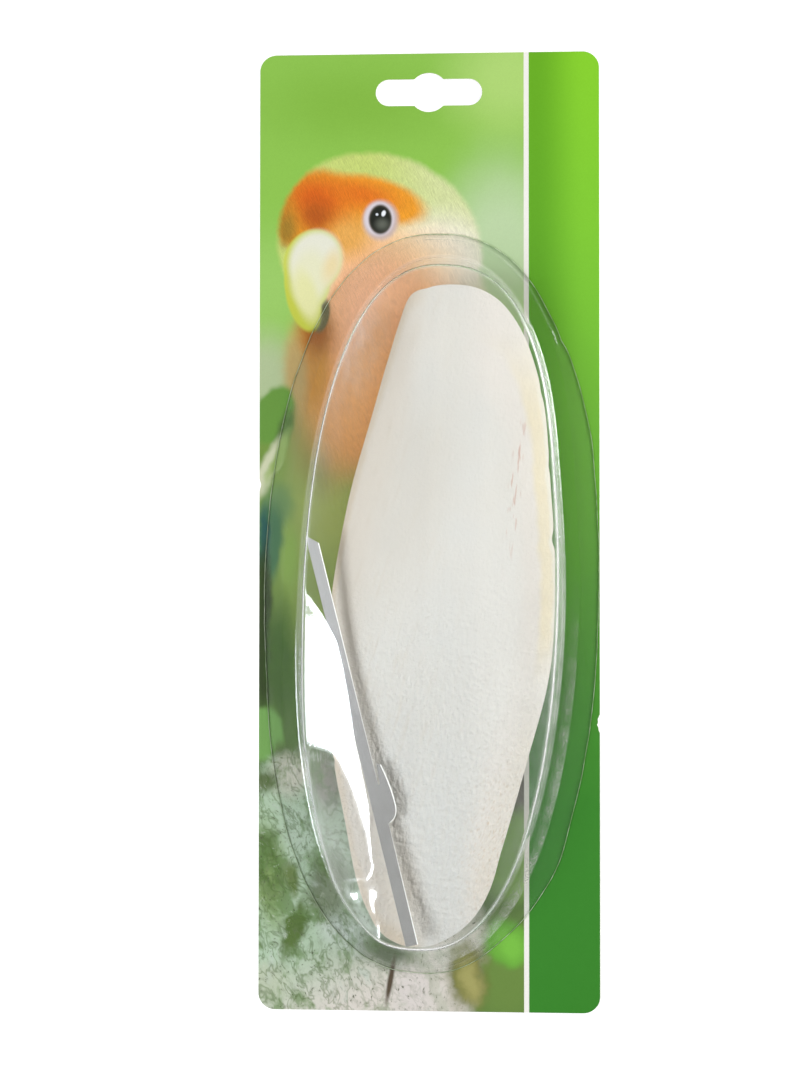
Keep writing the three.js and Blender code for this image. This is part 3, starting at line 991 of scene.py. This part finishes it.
def dome_rings(middle, dome_top):
    """Rings from the middle of the dome outwards and down: crown, shoulder, wall and foot."""
    wall, foot_top = dome_top - SHOULDER_RADIUS, FILM + FOOT_RADIUS
    rings = []
    edge_of_crown = ring_of(SHOULDER, SHOULDER_RADIUS)
    for share in np.linspace(SMALLEST_CROWN, 1, CROWN_RINGS):
        flat = middle + share * (edge_of_crown - middle)
        rings.append((flat, dome_top + CROWN_RISE * (1 - share ** 2), "crown"))
    for turn in SHOULDER_TURNS:
        t = math.radians(turn)
        inset = SHOULDER_RADIUS * (1 - math.cos(t))
        rings.append((ring_of(SHOULDER, inset), wall + SHOULDER_RADIUS * math.sin(t), "shoulder"))
    wall_top, wall_foot = ring_of(SHOULDER, 0), ring_of(FOOT, 0)
    for share in np.linspace(0, 1, WALL_RINGS + 1)[1:]:
        flat = wall_top + share ** WALL_BOW * (wall_foot - wall_top)
        rings.append((flat, wall + share * (foot_top - wall), "wall"))
    for turn in FOOT_TURNS:
        t = math.radians(turn)
        out = FOOT_RADIUS * (1 - math.cos(t))
        rings.append((ring_of(FOOT, -out), foot_top - FOOT_RADIUS * math.sin(t), "foot"))
    return rings


def cut_outline():
    """The flange's outline, with the places where its cut wanders off the oval."""
    outer = ring_of(FLANGE, 0)
    away = outer - outer.mean(axis=0)
    bearing = np.degrees(np.arctan2(away[:, 1], away[:, 0]))
    wander = np.array([0.22 * noise.noise((a / 7, b / 7, 2.2)) for a, b in outer])
    for angle, spread, out in CUT_WANDER:
        turn = (bearing - angle + 180) % 360 - 180
        wander += out * np.exp(-((turn / spread) ** 2))
    return outer + (wander / np.linalg.norm(away, axis=1))[:, None] * away


def flange_rings():
    """Rings from the dome's foot outwards: the heat seal, the flange and its cut edge."""
    inner, outer = ring_of(FOOT, -FOOT_RADIUS), cut_outline()
    width = np.linalg.norm(outer - inner, axis=1)
    sealed = np.minimum(SEAL_WIDTH, SEAL_MOST * width)
    start, lip = sealed / width, 1 - LIP_INSIDE / width
    places = [(sealed * share / width, 0, "seal") for share in np.linspace(0, 1, SEAL_RINGS)]
    for share in np.linspace(0, 1, FLANGE_RINGS + 1)[1:]:
        places.append((start + (lip - start) * share, LIP_RISE * (share == 1), "flange"))
    places += [(1 - inside / width, 0, "flange") for inside in NEAR_CUT]
    rings = [
        (inner + place[:, None] * (outer - inner), FILM + rise, part) for place, rise, part in places]
    return [*rings, (outer, FILM, "edge")]


def film_sides(rings, base, full_top):
    """The film's outer and inner side, each as a row of points for every ring."""
    rows = []
    for flat, height, _ in rings:
        x, y = flat[:, 0], flat[:, 1]
        lift = np.full(len(x), float(height)) - FILM
        lift = lift - sag(x, y) * np.clip(lift / (full_top - FILM), 0, 1)
        rows.append(np.column_stack([x, y, base + FILM + lift]))
    over = np.array(rows)
    # the inner side lies one film thickness below, square to the sheet
    along = np.roll(over, -1, axis=1) - np.roll(over, 1, axis=1)
    across = np.gradient(over, axis=0)
    normal = np.cross(across, along)
    normal /= np.linalg.norm(normal, axis=2, keepdims=True)
    under = over - normal * FILM
    under[:, :, 2] = np.maximum(under[:, :, 2], base)
    under[-1, :, :2] = over[-1, :, :2]
    under[-1, :, 2] = base
    return over, under


def mark_film(mesh, rings, middle):
    """Gives the mesh its places across the heat seal, its milkiness and its faces' materials."""
    seal_rings = [i for i, ring in enumerate(rings) if ring[2] == "seal"]
    across_seal = np.interp(np.arange(len(rings)), [seal_rings[0], seal_rings[-1]], [0, 1])
    give(mesh, "seal_share", [0, *np.repeat([*across_seal, *across_seal[::-1]], AROUND), 0])
    milk_and_sheen = np.concatenate([ring_milk_and_sheen(flat, middle, part) for flat, _, part in rings])
    # the inner side takes these in reverse: what is milky low on the outer side is milky
    # high on the inner one
    give(mesh, "milk_and_sheen", [0, *milk_and_sheen, *milk_and_sheen[::-1], 0])
    # each step round has a wedge at both ends, then the strips from ring to ring
    kinds = [PART_MATERIALS.get(part, 0) for _, _, part in rings[1:]]
    index = [0, 0, *kinds, PART_MATERIALS["edge"], *kinds[::-1]]
    mesh.polygons.foreach_set("material_index", np.tile(np.array(index, np.int32), AROUND))


def add_blister():
    base = blister_low.z / MM
    full_top = blister_high.z / MM - base
    middle = ring_of(SHOULDER, 0).mean(axis=0)
    rings = [*dome_rings(middle, full_top - CROWN_RISE), *flange_rings()]
    over, under = film_sides(rings, base, full_top)
    apex = np.array([*middle, over[0][:, 2].mean()])
    mesh = ring_mesh(
        "clear_blister", [*(over * MM), *(under[::-1] * MM)],
        apex * MM, (apex - (0, 0, FILM)) * MM)
    mesh.materials.append(film_material("clear_film", CLEAR_FILM))
    mesh.materials.append(film_material("foot_film", FOOT_FILM))
    mesh.materials.append(sealed_material())
    mesh.materials.append(cut_edge_material())
    mesh.materials.append(film_material("shoulder_film", SHOULDER_FILM))
    mark_film(mesh, rings, middle)
    shade_smooth(mesh, 50)
    new_piece("clear_blister", mesh, "blister")


add_camera()
add_studio()
add_floor()
add_card()
add_bone()
add_clip()
add_blister()
